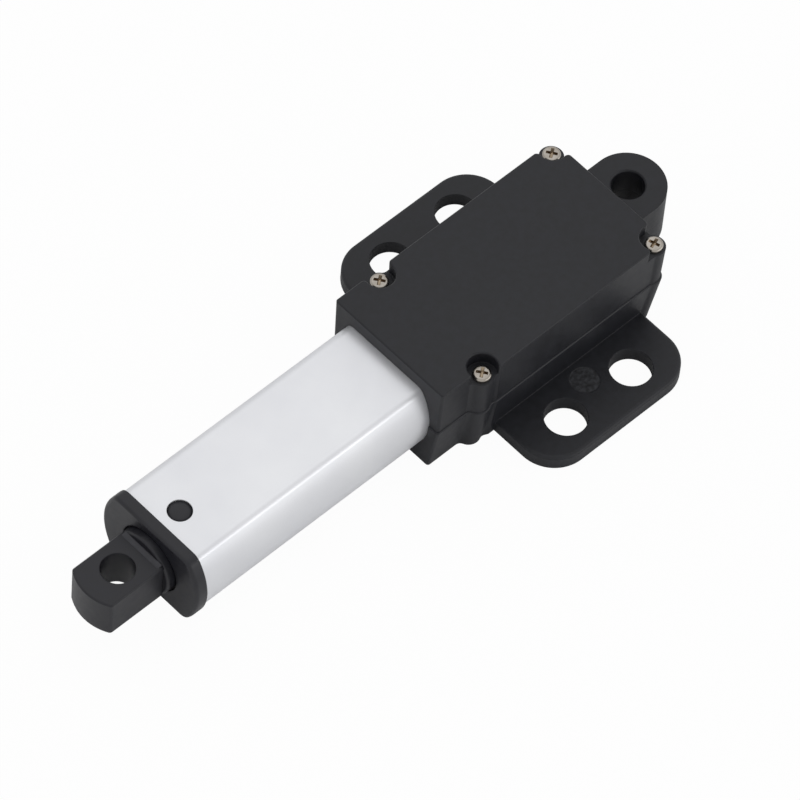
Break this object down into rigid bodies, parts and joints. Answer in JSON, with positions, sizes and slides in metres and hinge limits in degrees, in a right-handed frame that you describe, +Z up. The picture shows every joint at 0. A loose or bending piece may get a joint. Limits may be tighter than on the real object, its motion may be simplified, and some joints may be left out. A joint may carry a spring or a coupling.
{
  "type": "electric linear actuator",
  "caption": "Micro linear actuator: black moulded housing with side mounting flanges and rear pivot lug, flat-sided aluminium tube, and a push rod with a flat eye end.",
  "frame": {"origin": "centre of the four base holes, on the underside of the mounting flanges", "axes": "+X along the force line towards the rod end, +Y towards the wider side of the housing, +Z up out of the mounting face"},
  "size_m": [0.0895, 0.0384, 0.015],
  "materials": {
    "shell_plastic": "moulded glass-filled nylon, fine spark grain",
    "cap_plastic": "moulded acetal, satin",
    "rod_plastic": "moulded acetal, satin",
    "tube_aluminium": "extruded, bead blasted, clear anodised",
    "screw_steel": "nickel plated",
    "seal_rubber": "moulded",
    "steel": "turned",
    "ball_steel": "polished",
    "gear_brass": "hobbed",
    "plate_brass": "stamped",
    "block_plastic": "moulded",
    "carrier_acetal": "moulded",
    "motor_steel": "deep drawn, nickel plated",
    "motor_cap_plastic": "moulded",
    "ferrite": "sintered",
    "copper": "enamelled wire",
    "board_green": "solder mask",
    "component_black": "moulded"
  },
  "bodies": {
    "housing": {"upper_shell": "shell_plastic", "lower_shell": "shell_plastic", "housing_screws": "screw_steel", "outer_tube": "tube_aluminium", "front_cap": "cap_plastic", "wiper_ring": "seal_rubber", "wire_gland": "seal_rubber", "bearing_outer_race": "steel", "bearing_balls": "ball_steel", "bearing_block": "block_plastic", "bearing_retainer": "block_plastic", "gear_arbor": "steel", "gear_plate_rear": "plate_brass", "gear_plate_front": "plate_brass", "gear_pillars": "steel", "motor_can": "motor_steel", "motor_end_cap": "motor_cap_plastic", "motor_bushes": "gear_brass", "motor_terminals": "plate_brass", "motor_magnets": "ferrite", "motor_brushes": "copper", "switch_board": "board_green", "rear_limit_switch": "component_black", "front_limit_switch": "component_black", "board_diodes": "component_black"},
    "rotor": {"motor_shaft": "steel", "armature_core": "steel", "armature_windings": "copper", "commutator": "copper", "motor_pinion": "gear_brass"},
    "gear_1": {"compound_gear_1": "gear_brass"},
    "gear_2": {"compound_gear_2": "gear_brass"},
    "gear_3": {"compound_gear_3": "gear_brass"},
    "screw": {"lead_screw": "steel", "output_gear": "gear_brass", "thrust_washer": "steel", "bearing_inner_race": "steel"},
    "rod": {"push_rod": "rod_plastic", "rod_end": "rod_plastic", "rod_end_pin": "steel", "nut_carrier": "carrier_acetal", "drive_nut": "gear_brass"}
  },
  "joints": [
    {"name": "rotor_spin", "type": "hinge", "parent": "housing", "child": "rotor", "pos_m": [0, 0, 0.0075], "axis": [1, 0, 0], "range_deg": [-179159.04, 0]},
    {"name": "gear_1_spin", "type": "hinge", "parent": "housing", "child": "gear_1", "pos_m": [0, 0.00425, 0.0075], "axis": [1, 0, 0], "range_deg": [0, 74649.6]},
    {"name": "gear_2_spin", "type": "hinge", "parent": "housing", "child": "gear_2", "pos_m": [0, 0, 0.0075], "axis": [1, 0, 0], "range_deg": [-31104, 0]},
    {"name": "gear_3_spin", "type": "hinge", "parent": "housing", "child": "gear_3", "pos_m": [0, 0.00425, 0.0075], "axis": [1, 0, 0], "range_deg": [0, 12960]},
    {"name": "screw_spin", "type": "hinge", "parent": "housing", "child": "screw", "pos_m": [0, 0, 0.0075], "axis": [1, 0, 0], "range_deg": [-5400, 0]},
    {"name": "rod_slide", "type": "slide", "parent": "housing", "child": "rod", "axis": [1, 0, 0], "range_m": [0, 0.03]}
  ],
  "couplings": [
    {"joint": "rotor_spin", "follows": "rod_slide", "rad_per_m": -104230},
    {"joint": "gear_1_spin", "follows": "rod_slide", "rad_per_m": 43429},
    {"joint": "gear_2_spin", "follows": "rod_slide", "rad_per_m": -18096},
    {"joint": "gear_3_spin", "follows": "rod_slide", "rad_per_m": 7539.8},
    {"joint": "screw_spin", "follows": "rod_slide", "rad_per_m": -3141.6}
  ]
}
